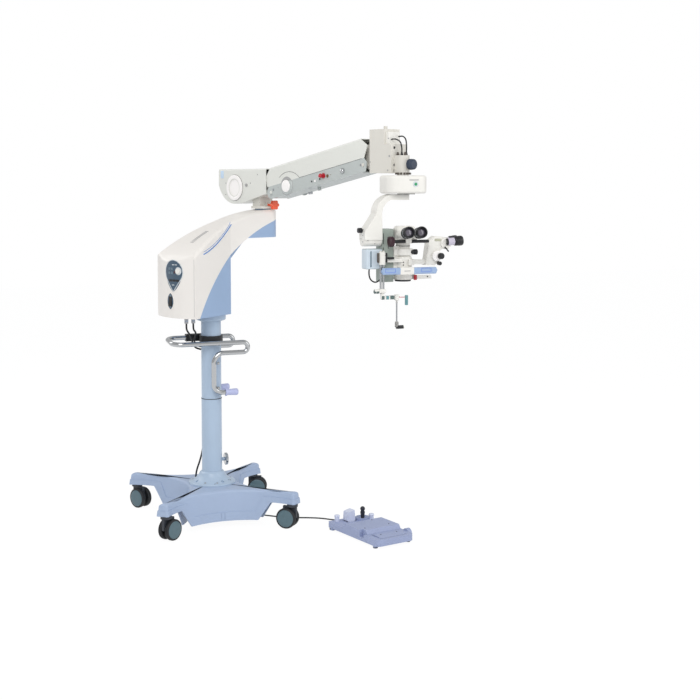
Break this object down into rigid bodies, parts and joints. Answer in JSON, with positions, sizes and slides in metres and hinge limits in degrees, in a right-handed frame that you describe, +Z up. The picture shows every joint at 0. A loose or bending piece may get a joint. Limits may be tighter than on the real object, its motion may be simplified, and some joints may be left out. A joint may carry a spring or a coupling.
{
  "type": "surgical microscope",
  "caption": "Floor-stand surgical microscope: wheeled base, column, balanced parallelogram arm, tilting optics head with eyepieces, and foot switch.",
  "frame": {"origin": "on the floor, on the axis of the column", "axes": "+Z up the column; the pictured front of the base faces -Y; the arm and the optics head reach out to +X and -Y; the foot switch lies at +X, -Y"},
  "size_m": [1.3474, 1.4369, 1.963],
  "materials": {
    "cover_lavender": "satin",
    "column_lavender": "satin",
    "frame_paint": "satin",
    "caster_rubber": "matte",
    "rail_chrome": "polished",
    "grip_lavender": "matte",
    "clamp_black": "satin",
    "cable_black": "matte",
    "switch_shell": "satin",
    "switch_black": "matte",
    "switch_white": "gloss",
    "housing_blue": "satin",
    "housing_white": "satin",
    "panel_blue": "gloss",
    "dial_white": "satin",
    "rocker_black": "gloss",
    "arm_white": "satin",
    "arm_grey": "satin",
    "knob_black": "satin",
    "knob_red": "gloss",
    "knob_orange": "gloss",
    "knob_blue_black": "satin",
    "rod_steel": "brushed",
    "bracket_tan": "satin",
    "head_white": "satin",
    "button_green": "gloss",
    "focus_grey_green": "satin",
    "bar_blue": "satin",
    "lens_black": "satin"
  },
  "bodies": {
    "stand": {"base_frame": "frame_paint", "base_cover_front": "cover_lavender", "base_cover_rear": "cover_lavender", "column_lower": "column_lavender", "column_upper": "column_lavender", "column_flange": "cover_lavender", "push_rail": "rail_chrome", "rail_grips": "grip_lavender", "rail_clamp": "clamp_black", "column_cable": "cable_black", "housing_cables": "cable_black", "pedal_housing": "switch_shell", "pedal_cord": "cable_black"},
    "housing": {"housing_lower": "housing_blue", "control_panel": "panel_blue", "housing_shell": "housing_white"},
    "brightness_dial": {"brightness_knob": "dial_white"},
    "power_switch": {"power_rocker": "rocker_black"},
    "turntable": {"arm_hub": "arm_grey", "pivot_box": "arm_white"},
    "arm_lock": {"arm_lock_knob": "knob_orange"},
    "lift_arm": {"arm_channel": "arm_grey", "arm_cover": "arm_white"},
    "lift_lock": {"lift_lock_knob": "knob_red"},
    "parallel_rod": {"levelling_rod": "rod_steel"},
    "arm_end": {"end_bracket": "bracket_tan", "end_cover": "head_white", "head_cables": "cable_black"},
    "swivel_brake": {"swivel_brake_knob": "knob_blue_black"},
    "xy_unit": {"xy_housing": "head_white"},
    "reset_button": {"xy_reset_button": "button_green"},
    "slide_plate": {"xy_slide_plate": "rod_steel"},
    "neck": {"gooseneck": "head_white"},
    "tilt_drive": {"tilt_knob": "knob_black"},
    "focus": {"focus_plate": "focus_grey_green"},
    "scope": {"scope_body": "head_white", "handle_bar": "bar_blue", "objective_ring": "lens_black"},
    "zoom": {"zoom_knob": "knob_black"},
    "aperture": {"aperture_lever": "knob_red"},
    "binocular": {"binocular_housing": "head_white"},
    "left_eyepiece": {"eyepiece_left": "lens_black"},
    "right_eyepiece": {"eyepiece_right": "lens_black"},
    "assistant": {"assistant_arm": "head_white"},
    "assistant_eyes": {"assistant_binocular": "lens_black"},
    "lens_slider": {"lens_arm_slider": "rod_steel"},
    "lens_swing": {"lens_holder": "rod_steel"},
    "joystick": {"pedal_joystick": "switch_black"},
    "zoom_pedal": {"pedal_zoom_rocker": "switch_shell"},
    "focus_pedal": {"pedal_focus_rocker": "switch_black"},
    "left_foot_button": {"pedal_button_left": "switch_white"},
    "right_foot_button": {"pedal_button_right": "switch_white"},
    "front_left_swivel": {"caster_fork_front_left": "frame_paint"},
    "front_left_wheels": {"caster_wheels_front_left": "caster_rubber"},
    "front_right_swivel": {"caster_fork_front_right": "frame_paint"},
    "front_right_wheels": {"caster_wheels_front_right": "caster_rubber"},
    "rear_right_swivel": {"caster_fork_rear_right": "frame_paint"},
    "rear_right_wheels": {"caster_wheels_rear_right": "caster_rubber"},
    "rear_left_swivel": {"caster_fork_rear_left": "frame_paint"},
    "rear_left_wheels": {"caster_wheels_rear_left": "caster_rubber"}
  },
  "joints": [
    {"name": "caster_swivel_front_left", "type": "hinge", "parent": "stand", "child": "front_left_swivel", "pos_m": [-0.316, -0.346, 0.114], "axis": [0, 0, 1], "continuous": true},
    {"name": "caster_roll_front_left", "type": "hinge", "parent": "front_left_swivel", "child": "front_left_wheels", "pos_m": [-0.29445, -0.33146, 0.051], "axis": [-0.5592, 0.829, 0], "continuous": true},
    {"name": "caster_swivel_front_right", "type": "hinge", "parent": "stand", "child": "front_right_swivel", "pos_m": [0.316, -0.346, 0.114], "axis": [0, 0, 1], "continuous": true},
    {"name": "caster_roll_front_right", "type": "hinge", "parent": "front_right_swivel", "child": "front_right_wheels", "pos_m": [0.29638, -0.32894, 0.051], "axis": [-0.6561, -0.7547, 0], "continuous": true},
    {"name": "caster_swivel_rear_right", "type": "hinge", "parent": "stand", "child": "rear_right_swivel", "pos_m": [0.316, 0.346, 0.114], "axis": [0, 0, 1], "continuous": true},
    {"name": "caster_roll_rear_right", "type": "hinge", "parent": "rear_right_swivel", "child": "rear_right_wheels", "pos_m": [0.34043, 0.33711, 0.051], "axis": [0.342, 0.9397, 0], "continuous": true},
    {"name": "caster_swivel_rear_left", "type": "hinge", "parent": "stand", "child": "rear_left_swivel", "pos_m": [-0.316, 0.346, 0.114], "axis": [0, 0, 1], "continuous": true},
    {"name": "caster_roll_rear_left", "type": "hinge", "parent": "rear_left_swivel", "child": "rear_left_wheels", "pos_m": [-0.30261, 0.32371, 0.051], "axis": [0.8572, 0.515, 0], "continuous": true},
    {"name": "housing_swivel", "type": "hinge", "parent": "stand", "child": "housing", "pos_m": [0, 0, 1.13], "axis": [0, 0, 1], "range_deg": [-150, 150], "deforming": ["housing_cables"]},
    {"name": "brightness_turn", "type": "hinge", "parent": "housing", "child": "brightness_dial", "pos_m": [-0.19403, -0.15426, 1.272], "axis": [-0.9135, -0.4067, 0], "range_deg": [-135, 135]},
    {"name": "power_switch_rock", "type": "hinge", "parent": "housing", "child": "power_switch", "pos_m": [-0.23179, -0.10977, 1.122], "axis": [-0.4067, 0.9135, 0], "range_deg": [-12, 0]},
    {"name": "arm_swivel", "type": "hinge", "parent": "housing", "child": "turntable", "pos_m": [0.32431, 0.14439, 1.575], "axis": [0, 0, 1], "range_deg": [-170, 170]},
    {"name": "arm_lock_turn", "type": "hinge", "parent": "turntable", "child": "arm_lock", "pos_m": [0.34581, 0.08838, 1.587], "axis": [0.3584, -0.9336, 0], "range_deg": [-90, 90]},
    {"name": "arm_lift", "type": "hinge", "parent": "turntable", "child": "lift_arm", "pos_m": [0.37362, 0.01593, 1.653], "axis": [-0.9336, -0.3584, 0], "range_deg": [-22, 12]},
    {"name": "rod_level", "type": "hinge", "parent": "turntable", "child": "parallel_rod", "pos_m": [0.37362, 0.01593, 1.728], "axis": [-0.9336, -0.3584, 0], "range_deg": [-23, 13]},
    {"name": "end_level", "type": "hinge", "parent": "lift_arm", "child": "arm_end", "pos_m": [0.6222, -0.63165, 1.78444], "axis": [-0.9336, -0.3584, 0], "range_deg": [-13, 23]},
    {"name": "lift_lock_turn", "type": "hinge", "parent": "lift_arm", "child": "lift_lock", "pos_m": [0.45985, -0.39008, 1.73475], "axis": [-0.9336, -0.3584, 0], "range_deg": [-90, 90]},
    {"name": "swivel_brake_turn", "type": "hinge", "parent": "arm_end", "child": "swivel_brake", "pos_m": [0.71135, -0.86387, 1.784], "axis": [0.3584, -0.9336, 0], "range_deg": [-90, 90]},
    {"name": "head_swivel", "type": "hinge", "parent": "arm_end", "child": "xy_unit", "pos_m": [0.69701, -0.82653, 1.77], "axis": [0, 0, 1], "range_deg": [-170, 170]},
    {"name": "reset_press", "type": "slide", "parent": "xy_unit", "child": "reset_button", "axis": [0, 1, 0], "range_m": [0, 0.002], "stiffness_N_per_m": 400},
    {"name": "y_slide", "type": "slide", "parent": "xy_unit", "child": "slide_plate", "axis": [0, 1, 0], "range_m": [-0.02, 0.02]},
    {"name": "x_slide", "type": "slide", "parent": "slide_plate", "child": "neck", "axis": [1, 0, 0], "range_m": [-0.02, 0.02]},
    {"name": "tilt_knob_turn", "type": "hinge", "parent": "neck", "child": "tilt_drive", "pos_m": [0.48201, -0.82653, 1.484], "axis": [1, 0, 0], "range_deg": [-400, 560]},
    {"name": "scope_tilt", "type": "hinge", "parent": "neck", "child": "focus", "pos_m": [0.57901, -0.82653, 1.441], "axis": [1, 0, 0], "range_deg": [-30, 45]},
    {"name": "focus_slide", "type": "slide", "parent": "focus", "child": "scope", "axis": [0, 0, 1], "range_m": [-0.02, 0.02]},
    {"name": "zoom_turn", "type": "hinge", "parent": "scope", "child": "zoom", "pos_m": [0.75701, -0.85653, 1.383], "axis": [1, 0, 0], "range_deg": [-150, 150]},
    {"name": "aperture_slide", "type": "slide", "parent": "scope", "child": "aperture", "axis": [1, 0, 0], "range_m": [0, 0.04]},
    {"name": "binocular_swivel", "type": "hinge", "parent": "scope", "child": "binocular", "pos_m": [0.69701, -0.82653, 1.424], "axis": [0, 0, 1], "range_deg": [-8, 4]},
    {"name": "left_eyepiece_turn", "type": "hinge", "parent": "binocular", "child": "left_eyepiece", "pos_m": [0.66601, -0.86053, 1.46], "axis": [0, -0.9877, 0.1564], "range_deg": [-60, 60]},
    {"name": "right_eyepiece_turn", "type": "hinge", "parent": "binocular", "child": "right_eyepiece", "pos_m": [0.72801, -0.86053, 1.46], "axis": [0, -0.9877, 0.1564], "range_deg": [-60, 60]},
    {"name": "assistant_swing", "type": "hinge", "parent": "scope", "child": "assistant", "pos_m": [0.69701, -0.82653, 1.335], "axis": [0, 0, 1], "range_deg": [-20, 20]},
    {"name": "assistant_tilt", "type": "hinge", "parent": "assistant", "child": "assistant_eyes", "pos_m": [0.90301, -0.82653, 1.42], "axis": [0, 1, 0], "range_deg": [-30, 30]},
    {"name": "lens_arm_slide", "type": "slide", "parent": "scope", "child": "lens_slider", "axis": [0, 0, 1], "range_m": [-0.04, 0.04]},
    {"name": "lens_swing", "type": "hinge", "parent": "lens_slider", "child": "lens_swing", "pos_m": [0.64801, -0.87153, 1.178], "axis": [1, 0, 0], "range_deg": [-95, 0]},
    {"name": "joystick_tilt", "type": "hinge", "parent": "stand", "child": "joystick", "pos_m": [0.64235, -0.46242, 0.033], "axis": [0.9744, 0.225, 0], "range_deg": [-12, 12], "stiffness_Nm_per_rad": 1},
    {"name": "zoom_pedal_rock", "type": "hinge", "parent": "stand", "child": "zoom_pedal", "pos_m": [0.57332, -0.4568, 0.026], "axis": [-0.225, 0.9744, 0], "range_deg": [-6, 6], "stiffness_Nm_per_rad": 4},
    {"name": "focus_pedal_rock", "type": "hinge", "parent": "stand", "child": "focus_pedal", "pos_m": [0.65632, -0.76298, 0.036], "axis": [0.9744, 0.225, 0], "range_deg": [-6, 6], "stiffness_Nm_per_rad": 6},
    {"name": "left_foot_button_press", "type": "slide", "parent": "stand", "child": "left_foot_button", "axis": [0, 0, -1], "range_m": [0, 0.004], "stiffness_N_per_m": 600},
    {"name": "right_foot_button_press", "type": "slide", "parent": "stand", "child": "right_foot_button", "axis": [0, 0, -1], "range_m": [0, 0.004], "stiffness_N_per_m": 600}
  ],
  "couplings": [
    {"joint": "rod_level", "follows": "arm_lift", "ratio": 1},
    {"joint": "end_level", "follows": "arm_lift", "ratio": -1},
    {"joint": "tilt_knob_turn", "follows": "scope_tilt", "ratio": 12}
  ]
}
